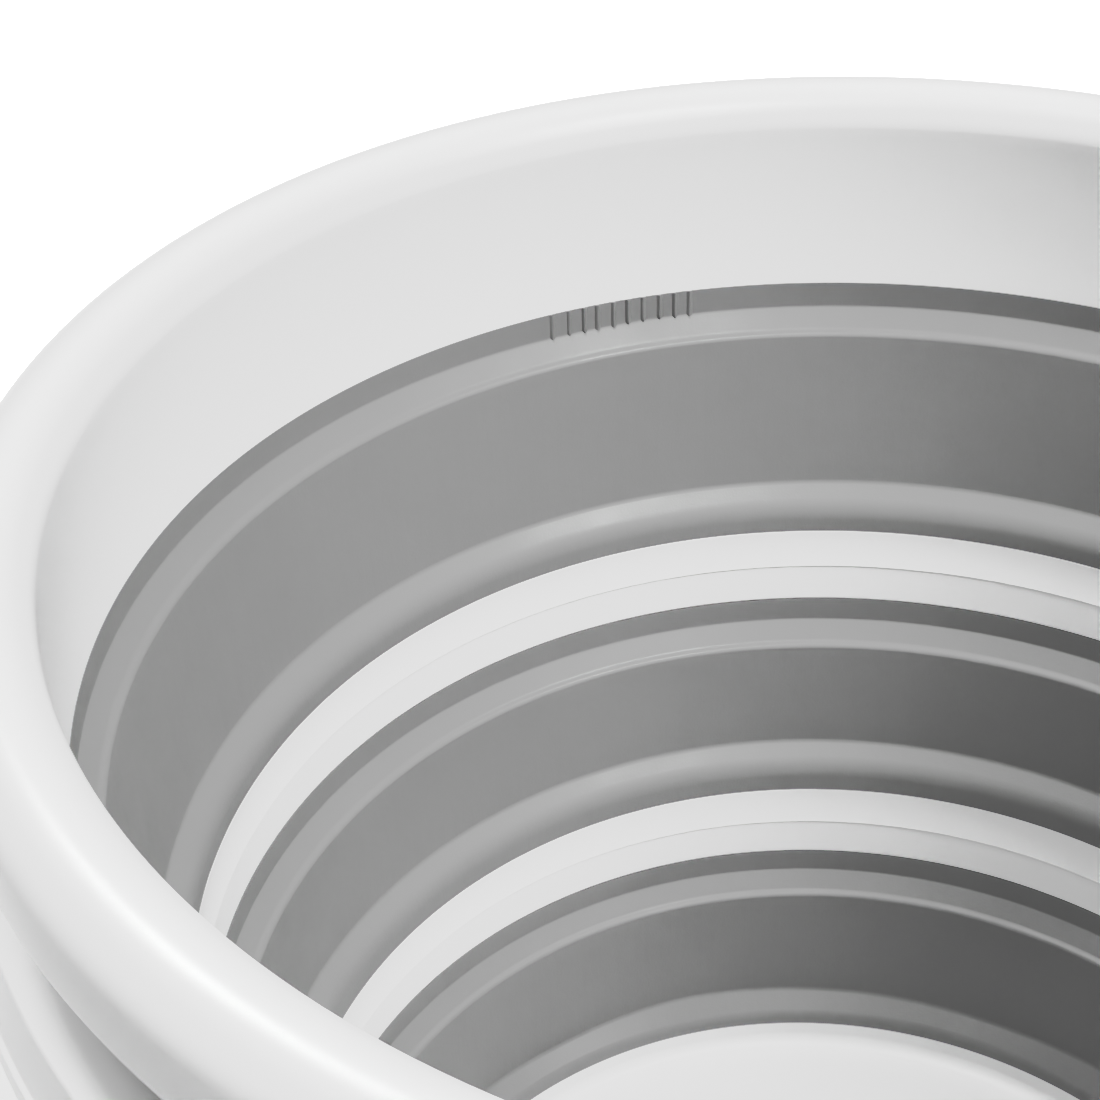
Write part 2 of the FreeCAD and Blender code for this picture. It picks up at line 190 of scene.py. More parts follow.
def turned(name, outline, material, angles=None, move=None):
    """Turn an outline about Z. A point with no radius becomes one vertex; move may shift points."""
    builder = bmesh.new()
    angles = angles or round_angles()
    rings = []
    for radius, height in outline:
        if radius < 1e-6:
            rings.append([builder.verts.new((0, 0, height * MM))])
            continue
        ring = []
        for angle in angles:
            far, high = move(angle, radius, height) if move else (radius, height)
            turn = math.radians(angle)
            ring.append(builder.verts.new((far * math.cos(turn) * MM, far * math.sin(turn) * MM, high * MM)))
        rings.append(ring)
    for first, second in zip(rings, rings[1:] + rings[:1]):
        if len(first) == 1 and len(second) == 1:
            continue
        count = max(len(first), len(second))
        for index in range(count):
            following = (index + 1) % count
            corners = [first[index % len(first)], first[following % len(first)],
                       second[following % len(second)], second[index % len(second)]]
            builder.faces.new(list(dict.fromkeys(corners)))
    return new_piece(name, builder, material)


def swept(name, stations, material):
    """A closed body through sections; each station is a list of points in millimetres."""
    builder = bmesh.new()
    loops = [[builder.verts.new(Vector(point) * MM) for point in station] for station in stations]
    bridge(builder, loops, closed=False)
    return new_piece(name, builder, material)


def section(width, height, rounding):
    """A rounded rectangle about the origin, as (across, up) points."""
    half_width, half_height = width / 2, height / 2
    return rounded([(half_width, -half_height, rounding), (half_width, half_height, rounding),
                    (-half_width, half_height, rounding), (-half_width, -half_height, rounding)], step=15)


SECTOR_STEPS = 6
SECTOR_EASE = 0.6


def sector(name, outline, middle, span, material):
    """A stretch of a turned outline whose two ends are eased."""
    count = len(outline)
    centre = (sum(point[0] for point in outline) / count, sum(point[1] for point in outline) / count)
    size = min(math.dist(point, centre) for point in outline)
    reach = math.degrees(SECTOR_EASE / centre[0])
    half = span / 2
    end_scale, near_end_scale = 1 - SECTOR_EASE / size, 1 - 0.3 * SECTOR_EASE / size
    full = span - 2 * reach
    places = [(-half, end_scale), (-half + 0.3 * reach, near_end_scale)]
    places += [(-half + reach + full * index / SECTOR_STEPS, 1.0) for index in range(SECTOR_STEPS + 1)]
    places += [(half - 0.3 * reach, near_end_scale), (half, end_scale)]
    stations = []
    for offset, scale in places:
        angle = math.radians(middle + offset)
        station = []
        for radius, height in outline:
            far = centre[0] + (radius - centre[0]) * scale
            station.append((far * math.cos(angle), far * math.sin(angle),
                            centre[1] + (height - centre[1]) * scale))
        stations.append(station)
    return swept(name, stations, material)


# --- materials --------------------------------------------------------------------------------

class Shader:
    """A Principled material, with small helpers that add and link nodes."""

    def __init__(self, name, **settings):
        self.material = bpy.data.materials.new(name)
        self.material.use_nodes = True
        self.nodes = self.material.node_tree.nodes
        self.links = self.material.node_tree.links
        self.surface = self.nodes["Principled BSDF"]
        for socket, value in settings.items():
            self.surface.inputs[socket.replace("_", " ")].default_value = value
        self.place = self.nodes.new("ShaderNodeTexCoord").outputs["Object"]

    def stretched(self, scale):
        """Object coordinates, in cycles for each metre along X, Y and Z."""
        mapping = self.nodes.new("ShaderNodeMapping")
        mapping.inputs["Scale"].default_value = scale
        self.links.new(self.place, mapping.inputs["Vector"])
        return mapping.outputs["Vector"]

    def noise(self, scale, detail):
        """A noise field; scale is one number, or three to stretch it."""
        node = self.nodes.new("ShaderNodeTexNoise")
        scales = scale if isinstance(scale, tuple) else (scale, scale, scale)
        self.links.new(self.stretched(scales), node.inputs["Vector"])
        node.inputs["Scale"].default_value = 1.0
        node.inputs["Detail"].default_value = detail
        return node.outputs["Fac"]

    def specks(self, scale, size):
        """A mask that is 1 in rare small dots and 0 elsewhere."""
        node = self.nodes.new("ShaderNodeTexVoronoi")
        self.links.new(self.stretched((scale, scale, scale)), node.inputs["Vector"])
        node.inputs["Scale"].default_value = 1.0
        dots = self.remap(node.outputs["Distance"], size, size * 0.6, 0.0, 1.0)
        rare = self.remap(node.outputs["Color"], 0.93, 0.94, 0.0, 1.0)
        both = self.nodes.new("ShaderNodeMath")
        both.operation = "MULTIPLY"
        self.links.new(dots, both.inputs[0])
        self.links.new(rare, both.inputs[1])
        return both.outputs["Value"]

    def remap(self, value, low, high, to_low, to_high):
        """A socket's value, stretched from low..high to to_low..to_high and held at the ends."""
        node = self.nodes.new("ShaderNodeMapRange")
        for index, number in enumerate((low, high, to_low, to_high), start=1):
            node.inputs[index].default_value = number
        self.links.new(value, node.inputs["Value"])
        return node.outputs["Result"]

    def mix(self, factor, first, second):
        """A colour between two, or between a socket's colour and another."""
        node = self.nodes.new("ShaderNodeMix")
        node.data_type = "RGBA"
        self.links.new(factor, node.inputs["Factor"])
        for socket, colour in zip(("A", "B"), (first, second)):
            target = next(i for i in node.inputs if i.name == socket and i.type == "RGBA")
            if isinstance(colour, tuple):
                target.default_value = (*colour, 1.0)
            else:
                self.links.new(colour, target)
        return next(o for o in node.outputs if o.type == "RGBA")

    def bump(self, height, distance, strength, under=None):
        """A normal for a relief of the given distance in metres, over another relief."""
        node = self.nodes.new("ShaderNodeBump")
        node.inputs["Strength"].default_value = strength
        node.inputs["Distance"].default_value = distance
        self.links.new(height, node.inputs["Height"])
        if under:
            self.links.new(under, node.inputs["Normal"])
        return node.outputs["Normal"]

    def set(self, socket, value):
        """Feed one of the surface's sockets."""
        self.links.new(value, self.surface.inputs[socket])


def grey(value):
    """A neutral colour."""
    return (value, value, value)


def make_white_plastic():
    """Glossy white polypropylene: nearly even, with soft sink marks and a fine moulded grain."""
    shader = Shader("white_polypropylene", IOR=1.49)
    shader.set("Base Color", shader.mix(shader.noise(9.0, 2.0), grey(0.86), grey(0.885)))
    shader.set("Roughness", shader.remap(shader.noise(35.0, 3.0), 0.0, 1.0, 0.25, 0.35))
    grain = shader.bump(shader.noise(2600.0, 2.0), 0.00003, 0.2)
    shader.set("Normal", shader.bump(shader.noise(14.0, 1.0), 0.0003, 0.05, grain))
    return shader.material


def make_elastomer():
    """Satin grey elastomer: cloudy tone, faint upright flow lines and a fine moulded grain."""
    shader = Shader("grey_elastomer", IOR=1.46)
    tone = shader.mix(shader.noise(13.0, 3.0), grey(0.30), grey(0.33))
    shader.set("Base Color", shader.mix(shader.specks(52.0, 0.014), tone, grey(0.12)))
    shader.set("Roughness", shader.remap(shader.noise(48.0, 4.0), 0.0, 1.0, 0.30, 0.54))
    grain = shader.bump(shader.noise(1700.0, 3.0), 0.00006, 0.30)
    flow = shader.bump(shader.noise((150.0, 150.0, 9.0), 2.0), 0.0005, 0.10, grain)
    shader.set("Normal", shader.bump(shader.noise(30.0, 1.0), 0.0008, 0.12, flow))
    return shader.material


def make_grey_plastic():
    """Satin mid-grey plastic for the rollers."""
    shader = Shader("grey_plastic", IOR=1.5)
    shader.set("Base Color", shader.mix(shader.noise(60.0, 3.0), grey(0.30), grey(0.36)))
    shader.set("Roughness", shader.remap(shader.noise(160.0, 3.0), 0.0, 1.0, 0.26, 0.50))
    shader.set("Normal", shader.bump(shader.noise(2100.0, 2.0), 0.00005, 0.3))
    return shader.material


def make_steel():
    """Ground stainless steel, its fine marks running round each axle."""
    shader = Shader("ground_steel", Metallic=1.0)
    marks = shader.noise((2600.0, 60.0, 60.0), 3.0)
    shader.set("Base Color", shader.mix(marks, grey(0.60), grey(0.72)))
    shader.set("Roughness", shader.remap(marks, 0.3, 0.7, 0.22, 0.36))
    shader.set("Normal", shader.bump(marks, 0.00003, 0.3))
    return shader.material


WHITE = make_white_plastic()
RUBBERY = make_elastomer()
ROLLER_PLASTIC = make_grey_plastic()
STEEL = make_steel()


def belongs(piece, body, slot, *nodes):
    """Rides on a body and stands for CAD nodes, which it hides. The slot is not used."""
    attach(piece, body)
    if nodes:
        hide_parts(*nodes)


# --- rim --------------------------------------------------------------------------------------
# SHOULDER_HEIGHT, SHOULDER_NECK_HEIGHT, BEAD_EDGE and the flange's heights are above the lip.

ROLL_INNER_RADIUS, ROLL_OUTER_RADIUS = 9.6, 11.4
ROLL_CENTRE = (183.75, LIP_Z + 43.7)
ROLL_BLEND = 42.0
WALL_HOLLOW = 0.9
BEAD_EDGE = 32.0               # the bead's lower edge
SHOULDER_RADIUS, SHOULDER_HEIGHT = 194.1, 3.5
SHOULDER_NECK_HEIGHT = 6.0
SKIRT_FOOT_RADIUS = 196.9
FLANGE_RADIUS = 198.0
FLANGE_TOP, FLANGE_BOTTOM = -7.5, -14.0
INNER_ARC_SHIFT = ROLL_OUTER_RADIUS - ROLL_INNER_RADIUS
INNER_ARC_CENTRE = (ROLL_CENTRE[0] + INNER_ARC_SHIFT * math.cos(math.radians(ROLL_BLEND)),
                    ROLL_CENTRE[1] + INNER_ARC_SHIFT * math.sin(math.radians(ROLL_BLEND)))
NECK_RADIUS = INNER_ARC_CENTRE[0] - ROLL_INNER_RADIUS + PLASTIC


def collar_outline():
    """The inner wall above the lip, the rolled bead and the neck behind them."""
    wall_head = (INNER_ARC_CENTRE[0] - ROLL_INNER_RADIUS, INNER_ARC_CENTRE[1])
    bead = ROLL_CENTRE[0] + ROLL_OUTER_RADIUS
    edge = LIP_Z + BEAD_EDGE
    points = bowed((LIP_RADIUS, LIP_Z + 0.4), wall_head, -WALL_HOLLOW, 20)[:-1]
    points += arc(INNER_ARC_CENTRE, ROLL_INNER_RADIUS, 180, ROLL_BLEND, 30)
    points += arc(ROLL_CENTRE, ROLL_OUTER_RADIUS, ROLL_BLEND, 0, 12)[1:]
    points += bowed((bead, ROLL_CENTRE[1]), (bead, edge + 1.2), 0.25, 6)[1:]
    points += arc((bead - 1.2, edge + 1.2), 1.2, 0, -90, 6)[1:]
    points += arc((bead - PLASTIC + 0.4, edge + 0.4), 0.4, -90, -180, 3)
    points += arc(ROLL_CENTRE, ROLL_OUTER_RADIUS - PLASTIC, 0, ROLL_BLEND, 6)
    points += arc(INNER_ARC_CENTRE, ROLL_INNER_RADIUS - PLASTIC, ROLL_BLEND, 180, 16)
    points += [(NECK_RADIUS, LIP_Z + 0.3), (NECK_RADIUS - 0.3, LIP_Z), (LIP_RADIUS, LIP_Z)]
    return points


def skirt_outline():
    """A nearly flat shoulder, the skirt below it and a small stepped flange."""
    flange_inner = FLANGE_RADIUS - PLASTIC
    return rounded([
        (NECK_RADIUS, LIP_Z + SHOULDER_NECK_HEIGHT + 2.0, 0),
        (NECK_RADIUS, LIP_Z + SHOULDER_NECK_HEIGHT, 1.8),
        (SHOULDER_RADIUS, LIP_Z + SHOULDER_HEIGHT, 0.9),
        (SKIRT_FOOT_RADIUS, LIP_Z + FLANGE_TOP, 0.35),
        (FLANGE_RADIUS, LIP_Z + FLANGE_TOP, 0.4),
        (FLANGE_RADIUS, LIP_Z + FLANGE_BOTTOM, 0.8),
        (flange_inner, LIP_Z + FLANGE_BOTTOM, 0.5),
        (SHOULDER_RADIUS - PLASTIC, LIP_Z + SHOULDER_HEIGHT - PLASTIC, 1.2),
        (NECK_RADIUS, LIP_Z + SHOULDER_NECK_HEIGHT - PLASTIC, 0),
    ])


collar = turned("rim_collar_shell", collar_outline(), WHITE)
belongs(collar, "rim", "white_plastic", "rim_collar")
skirt = turned("rim_skirt_shell", skirt_outline(), WHITE)
belongs(skirt, "rim", "white_plastic", "rim_skirt")

LUG_ANGLES = (20, 160, 200, 340)
LUG_SPAN = 3.6                 # degrees
LUG_ROOT, LUG_END = 194.8, 207.5
LUG_BOTTOM = LIP_Z + FLANGE_BOTTOM + 0.4
LUG_END_HEIGHT = 3.0
LUG_TOP = PIVOT_Z - HANDLE_HALF_HEIGHT - 0.5


def lug_outline():
    """A bracket that reaches out from the flange to just under the folded handle."""
    return rounded([
        (LUG_ROOT, LUG_BOTTOM, 0.3),
        (FLANGE_RADIUS, LUG_BOTTOM, 1.5),
        (LUG_END, LUG_TOP - LUG_END_HEIGHT, 1.2),
        (LUG_END, LUG_TOP, 0.8),
        (LUG_ROOT, LUG_TOP, 0.3),
    ])


for number, angle in enumerate(LUG_ANGLES, start=1):
    lug = sector("handle_rest_lug_%d" % number, lug_outline(), angle, LUG_SPAN, WHITE)
    belongs(lug, "rim", "white_plastic")

BOSS_RADIUS = 8.5
BOSS_ROOT, BOSS_END = 186.0, 198.6
BOSS_EDGE = 0.8
BOSS_STEPS = 64


def handle_boss(name, sign):
    """A round boss with a rounded outer edge, on the axis that the handle turns about."""
    edge = arc((BOSS_END - BOSS_EDGE, BOSS_RADIUS - BOSS_EDGE), BOSS_EDGE, 90, 0, 6)
    turns = [2 * math.pi * index / BOSS_STEPS for index in range(BOSS_STEPS)]
    stations = [[(sign * x, far * math.cos(turn), PIVOT_Z + far * math.sin(turn)) for turn in turns]
                for x, far in [(BOSS_ROOT, BOSS_RADIUS)] + edge]
    return swept(name, stations, WHITE)


for side, sign in (("left", -1), ("right", 1)):
    belongs(handle_boss("handle_boss_" + side, sign), "rim", "white_plastic")


# --- folding bands ----------------------------------------------------------------------------

COLLAR_STRIP = 7.0             # height of the upright strip at a band's head
STRIP_LEAN = 0.4
SHOULDER_IN, SHOULDER_DOWN = 5.4, 5.8
SHOULDER_BREAK_IN, SHOULDER_BREAK_DOWN = 0.70, 0.86   # share of the shoulder where it flattens
LEDGE_IN, LEDGE_DOWN = 5.6, 5.7
LEDGE_FILLET = 9.0


def band_outline(foot_radius, foot_z, head_radius, head_z, foot_strip):
    """Foot strip, sloping ledge, wide wall, sloping shoulder and collar strip, with soft corners."""
    ledge_foot = (foot_radius + STRIP_LEAN, foot_z + foot_strip)
    wall_foot = (ledge_foot[0] + LEDGE_IN, ledge_foot[1] + LEDGE_DOWN)
    shoulder = (head_radius - STRIP_LEAN, head_z - COLLAR_STRIP)
    wall_head = (shoulder[0] - SHOULDER_IN, shoulder[1] - SHOULDER_DOWN)
    shoulder_break = (shoulder[0] - SHOULDER_BREAK_IN * SHOULDER_IN,
                      shoulder[1] - SHOULDER_BREAK_DOWN * SHOULDER_DOWN)
    inside = [
        (foot_radius, foot_z, 0.0),
        (*ledge_foot, LEDGE_FILLET),
        (*wall_foot, 2.4),
        (*wall_head, 3.2),
        (*shoulder_break, 2.2),
        (*shoulder, 1.4),
        (head_radius, head_z, 0.0),
    ]
    outside = [(radius + RUBBER, height, rounding) for radius, height, rounding in reversed(inside)]
    return rounded(inside + outside, step=6)


RIB_STRETCH = (113.8, 128.8)   # degrees between which the small upright ribs stand
RIB_COUNT = 10
RIB_END_GAP = 1.1              # degrees from an end of the stretch to the first rib
RIB_HALF_WIDTH = 0.24          # degrees
RIB_STAND = 0.62               # how far a rib stands into the basin
RIB_POINT = 1.4                # length of a rib's pointed foot
RIB_ROWS = 0.4                 # height between rows of points on a rib
RIB_DEEPEST = 10.0             # below the lip; no rib reaches deeper
RIB_ROWS_TO = 12.0             # below the lip; the added rows of points end here


def place_ribs():
    """Each rib's angle, its size as a share of RIB_STAND, and its length, a little uneven."""
    draw = random.Random(7)
    pitch = (RIB_STRETCH[1] - RIB_STRETCH[0] - 2 * RIB_END_GAP) / (RIB_COUNT - 1)
    ribs = []
    for index in range(RIB_COUNT):
        centre = RIB_STRETCH[0] + RIB_END_GAP + pitch * index + draw.uniform(-0.16, 0.16)
        ribs.append((centre, draw.uniform(0.7, 1.0), COLLAR_STRIP + draw.uniform(0.7, 1.6)))
    return ribs


SMALL_RIBS = place_ribs()


def finer_top(outline):
    """More points down the inside of the upper band's top, where the small ribs stand."""
    points = []
    for here, there in zip(outline, outline[1:] + outline[:1]):
        points.append(here)
        rise = abs(there[1] - here[1])
        inside = max(here[0], there[0]) <= LIP_RADIUS + 0.1
        if inside and max(here[1], there[1]) > LIP_Z - RIB_ROWS_TO and rise > 0.5:
            parts = math.ceil(rise / RIB_ROWS)
            points += [(here[0] + (there[0] - here[0]) * part / parts,
                        here[1] + (there[1] - here[1]) * part / parts) for part in range(1, parts)]
    return points


def ribbed(angle, radius, height):
    """Small upright ribs, inside only, from the lip to just past the top strip's lower edge."""
    depth = LIP_Z - height
    outside = radius > LIP_RADIUS + 0.2
    if outside or depth > RIB_DEEPEST or not RIB_STRETCH[0] <= angle <= RIB_STRETCH[1]:
        return radius, height
    strip_face = LIP_RADIUS - STRIP_LEAN * depth / COLLAR_STRIP
    for centre, size, length in SMALL_RIBS:
        pointed = max(0.0, min(1.0, (length - depth) / RIB_POINT))
        across = abs(angle - centre) / (RIB_HALF_WIDTH * max(pointed, 0.01))
        if across < 1:
            stand = size * RIB_STAND * (1 - across ** 2) * min(1.0, 0.4 + pointed)
            radius = min(radius, strip_face - stand)
    return radius, height


WAVE_HEIGHT = 0.5
WAVY_FROM, WAVY_TO = 5.0, 14.0  # above the tray's upper edge


def wavy_ledge(angle, radius, height):
    """The lowest ledge's upper edge rises and falls a little."""
    if not WAVY_FROM < height - TRAY_TOP < WAVY_TO:
        return radius, height
    wave = math.sin(math.radians(angle * 7 + 40)) + 0.6 * math.sin(math.radians(angle * 11 + 200))
    return radius, height + WAVE_HEIGHT * wave


def folding_band(node, foot_radius, head_radius, foot_strip, fine=None, move=None):
    """One band, turned from the foot of its CAD node up to its top, standing in for that node."""
    low, high = foot(node), top(node)
    outline = band_outline(foot_radius, low, head_radius, high, foot_strip)
    if fine:
        outline = finer_top(outline)
    band = turned(node + "_band", outline, RUBBERY, round_angles(fine), move)
    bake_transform(band)
    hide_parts(node)


folding_band("bellows_lower", TRAY_RADIUS, LOWER_RING_FOOT, 3.4, move=wavy_ledge)
folding_band("bellows_middle", LOWER_RING_HEAD, UPPER_RING_FOOT, 8.2)
folding_band("bellows_upper", UPPER_RING_HEAD, LIP_RADIUS, 7.0, RIB_STRETCH, ribbed)


# --- stiffening rings -------------------------------------------------------------------------

RIDGE_STAND = 0.5              # how far the ridge stands in from a straight inner face
RIDGE_STEP = (0.30, 0.45)      # the small step under the ridge: outward, and down


def ring_outline(foot_radius, low, head_radius, high):
    """A ring whose inner face is two faint facets; the upper one curves out to a fine ridge."""
    middle = (low + high) / 2
    ridge = (foot_radius + head_radius) / 2 - RIDGE_STAND
    body = rounded([
        (ridge, middle, 0),
        (ridge + RIDGE_STEP[0], middle - RIDGE_STEP[1], 0),
        (foot_radius, low, 0.45),
        (foot_radius + RING_WALL, low, 0.7),
        (head_radius + RING_WALL, high, 0.7),
        (head_radius, high, 0.45),
    ], step=6)
    upper_facet = bowed((head_radius, high - 0.6), (ridge, middle), 0.28, 8)[1:-1]
    return body + upper_facet


for node, body, foot_radius, head_radius in (
        ("ring_lower", "lower_ring", LOWER_RING_FOOT, LOWER_RING_HEAD),
        ("ring_upper", "upper_ring", UPPER_RING_FOOT, UPPER_RING_HEAD)):
    ring = turned(node + "_shell", ring_outline(foot_radius, foot(node), head_radius, top(node)), WHITE)
    belongs(ring, body, "white_plastic", node)


# --- tray -------------------------------------------------------------------------------------

FLOOR_TOP = 12.0
FLOOR_CORNER = 8.0
FOOT_RING_INNER, FOOT_RING_OUTER = 117.0, 128.0
FOOT_RING_BOTTOM = 3.0

tray_outline = rounded([
    (0.0, FLOOR_TOP, 0),
    (TRAY_RADIUS, FLOOR_TOP, FLOOR_CORNER),
    (TRAY_RADIUS, TRAY_TOP, 0),
    (TRAY_RADIUS + PLASTIC, TRAY_TOP, 0.6),
    (FOOT_RING_OUTER, FOOT_RING_BOTTOM, 1.2),
    (FOOT_RING_INNER, FOOT_RING_BOTTOM, 1.0),
    (FOOT_RING_INNER, FLOOR_TOP - PLASTIC, 1.5),
    (0.0, FLOOR_TOP - PLASTIC, 0),
])
tray = turned("tray_base_shell", tray_outline, WHITE)
belongs(tray, "base", "white_plastic", "tray_base")


HUB_RADIUS = 22.0
HUB_PAD_RADIUS = 18.0
HUB_ROOT = FLOOR_TOP - PLASTIC + 0.5
POCKET_TOP = FOOT_RING_BOTTOM + 1.2
hub_outline = rounded([
    (HUB_RADIUS, FOOT_RING_BOTTOM, 0.8),
    (HUB_RADIUS, HUB_ROOT, 0),
    (0.0, HUB_ROOT, 0),
    (0.0, POCKET_TOP, 0),
    (HUB_PAD_RADIUS, POCKET_TOP, 0),
    (HUB_PAD_RADIUS, FOOT_RING_BOTTOM, 0.3),
])
hub = turned("floor_hub", hub_outline, WHITE)
belongs(hub, "base", "white_plastic")

FLOOR_RIBS = 6
FLOOR_RIB_WIDTH = 2.0
FLOOR_RIB_TOP, FLOOR_RIB_BOTTOM = FLOOR_TOP - PLASTIC, FOOT_RING_BOTTOM + 1.0


def floor_rib(name, angle):
    """A rounded rib under the floor, out along a radius from the hub to the foot ring."""
    shape = section(FLOOR_RIB_WIDTH, FLOOR_RIB_TOP - FLOOR_RIB_BOTTOM, 0.6)
    middle = Vector((0, 0, (FLOOR_RIB_TOP + FLOOR_RIB_BOTTOM) / 2))
    turn = math.radians(angle)
    out, side = Vector((math.cos(turn), math.sin(turn), 0)), Vector((-math.sin(turn), math.cos(turn), 0))
    stations = [[out * far + side * x + middle + Vector((0, 0, z)) for x, z in shape]
                for far in (HUB_RADIUS - 0.5, FOOT_RING_INNER + 0.5)]
    return swept(name, stations, WHITE)


for number in range(FLOOR_RIBS):
    piece = floor_rib("floor_rib_%d" % (number + 1), number * 360 / FLOOR_RIBS)
    belongs(piece, "base", "white_plastic")


# --- handle -----------------------------------------------------------------------------------

HANDLE_INNER, HANDLE_OUTER = 200.2, 208.2
HANDLE_RADIUS = (HANDLE_INNER + HANDLE_OUTER) / 2
EYE_RADIUS = 9.0
GRIP_SPAN = 46.0               # degrees
GRIP_OUTER = 210.2
GRIP_HALF_HEIGHT = 6.6
GRIP_STEPS = 330
GRIP_RIBS = 30
GRIP_RIB_DEPTH = 0.7
GRIP_END = 3.0                 # length over which the sleeve draws in at each end
GRIP_END_DRAW = 0.16


def handle_station(x, y, out, half_height):
    """One section of the handle: a bar with well rounded edges."""
    shape = section(HANDLE_OUTER - HANDLE_INNER, 2 * half_height, 2.2)
    return [Vector((x, y, PIVOT_Z + z)) + out * across for across, z in shape]


def handle_piece():
    """A half ring round the back that rounds off into an eye past each pivot."""
    past = [EYE_RADIUS * math.sin(math.radians(angle)) for angle in range(85, 0, -10)]
    ends = {}
    for sign in (-1, 1):
        ends[sign] = [handle_station(sign * HANDLE_RADIUS, -y, Vector((sign, 0, 0)),
                                     math.sqrt(EYE_RADIUS ** 2 - y ** 2)) for y in past]
    near_end = [0.25 * index for index in range(1, 12)]
    angles = set(range(181)) | set(near_end) | {180 - angle for angle in near_end}
    bow = []
    for angle in sorted(angles):
        turn = math.radians(angle)
        out = Vector((math.cos(turn), math.sin(turn), 0))
        eye = math.sqrt(max(0.0, EYE_RADIUS ** 2 - (HANDLE_RADIUS * out.y) ** 2))
        bow.append(handle_station(HANDLE_RADIUS * out.x, HANDLE_RADIUS * out.y, out,
                                  max(eye, HANDLE_HALF_HEIGHT)))
    return swept("carry_handle_bow", ends[1] + bow + ends[-1][::-1], WHITE)


handle = handle_piece()
belongs(handle, "handle", "white_plastic", "carry_handle")


def grip_piece():
    """A soft sleeve with rounded ends and shallow ribs across its outer face."""
    width = GRIP_OUTER - HANDLE_INNER
    radius = (HANDLE_INNER + GRIP_OUTER) / 2
    stations = []
    for index in range(GRIP_STEPS + 1):
        share = index / GRIP_STEPS
        angle = math.radians(90 - GRIP_SPAN / 2 + GRIP_SPAN * share)
        from_end = min(share, 1 - share) * math.radians(GRIP_SPAN) * radius
        draw_in = 1 - GRIP_END_DRAW * max(0.0, 1 - from_end / GRIP_END) ** 2
        groove = 0.5 - 0.5 * math.cos(2 * math.pi * share * GRIP_RIBS)
        if not 0.06 < share < 0.94:
            groove = 0.0
        out = Vector((math.cos(angle), math.sin(angle), 0))
        station = []
        for across, z in section(width, 2 * GRIP_HALF_HEIGHT, 3.0):
            outward = max(0.0, across / (width / 2))
            far = across - GRIP_RIB_DEPTH * groove * outward
            station.append(out * (radius + far * draw_in) + Vector((0, 0, PIVOT_Z + z * draw_in)))
        stations.append(station)
    return swept("handle_grip_sleeve", stations, RUBBERY)


grip = grip_piece()
belongs(grip, "handle", "grey_elastomer", "handle_grip")


# --- massage rollers --------------------------------------------------------------------------

ROLLER_LOBES = 6
LOBE_DEPTH = 2.2
DOMES_AROUND = 9
DOME_HEIGHT, DOME_RADIUS = 1.1, 2.1
ROLLER_BORE = 1.58
ROLLER_AROUND, ROLLER_ALONG = 108, 144


def lobed_reach(x, turn, length, peak):
    """A roller's radius at a place along it and a turn round it: lobes with small domes."""
    lobe = length / ROLLER_LOBES
    number = min(ROLLER_LOBES - 1, int(x / lobe))
    off = x - (number + 0.5) * lobe
    body_radius = peak - DOME_HEIGHT - LOBE_DEPTH * (2 * off / lobe) ** 2
    half_pitch = math.pi / DOMES_AROUND
    stagger = half_pitch * (number % 2)
    nearest = (turn + stagger + half_pitch) % (2 * half_pitch) - half_pitch
    gap = math.hypot(off, nearest * body_radius) / DOME_RADIUS
    return body_radius + (DOME_HEIGHT * (1 - gap ** 2) ** 2 if gap < 1 else 0.0)


def massage_roller(node, body):
    """A lobed roller with rows of small domes, staggered from lobe to lobe."""
    low, high = (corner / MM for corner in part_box(node))
    centre = (low + high) / 2
    length = high.x - low.x
    peak = (high.z - low.z) / 2
    turns = [2 * math.pi * index / ROLLER_AROUND for index in range(ROLLER_AROUND)]
    builder = bmesh.new()
    loops = []

    def add_loop(x, reaches):
        loops.append([builder.verts.new(Vector((low.x + x, centre.y + reach * math.cos(turn),
                                                centre.z + reach * math.sin(turn))) * MM)
                      for turn, reach in zip(turns, reaches)])

    for step in range(ROLLER_ALONG + 1):
        x = length * step / ROLLER_ALONG
        add_loop(x, [lobed_reach(x, turn, length, peak) for turn in turns])
    for x in (length, 0.0):
        add_loop(x, [ROLLER_BORE] * ROLLER_AROUND)
    bridge(builder, loops, closed=True)
    piece = new_piece(node + "_roller", builder, ROLLER_PLASTIC, 50)
    belongs(piece, body, "grey_plastic", node)


for side in ("left", "right"):
    for number in range(1, 5):
        massage_roller("massage_roller_%s_%d" % (side, number), "roller_%s_%d" % (side, number))


# --- CAD nodes that stay ----------------------------------------------------------------------

def keep_node(node, material, width):
    """A CAD node shown as it is, with eased edges."""
    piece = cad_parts[node]
    piece.data.materials.clear()
    piece.data.materials.append(material)
    bevel = piece.modifiers.new("eased_edges", "BEVEL")
    bevel.width = width * MM
    bevel.segments = 3
    bevel.limit_method = "ANGLE"
    bevel.angle_limit = math.radians(40)
    soften(piece, 35)


keep_node("non_slip_feet", RUBBERY, 0.6)
keep_node("handle_pivot_pins", WHITE, 0.6)
for side in ("left", "right"):
    keep_node("roller_cradle_" + side, WHITE, 0.8)
    keep_node("roller_axles_" + side, STEEL, 0.2)


# --- floor, light and camera ------------------------------------------------------------------

FLOOR_HALF_WIDTH = 6.0         # metres
# The floor's painted shade: towards the front left it turns darker and glows less, standing in for light
# falling off there.
PAINTED_SHADE_TOWARDS = (-0.62, -0.78, 0)
PAINTED_SHADE_FROM, PAINTED_SHADE_TO = -0.10, 0.40   # metres from the axis, towards the front left, over which the painted shade comes in
PAINTED_SHADE_TONE = 0.50
FLOOR_GLOW = 0.85


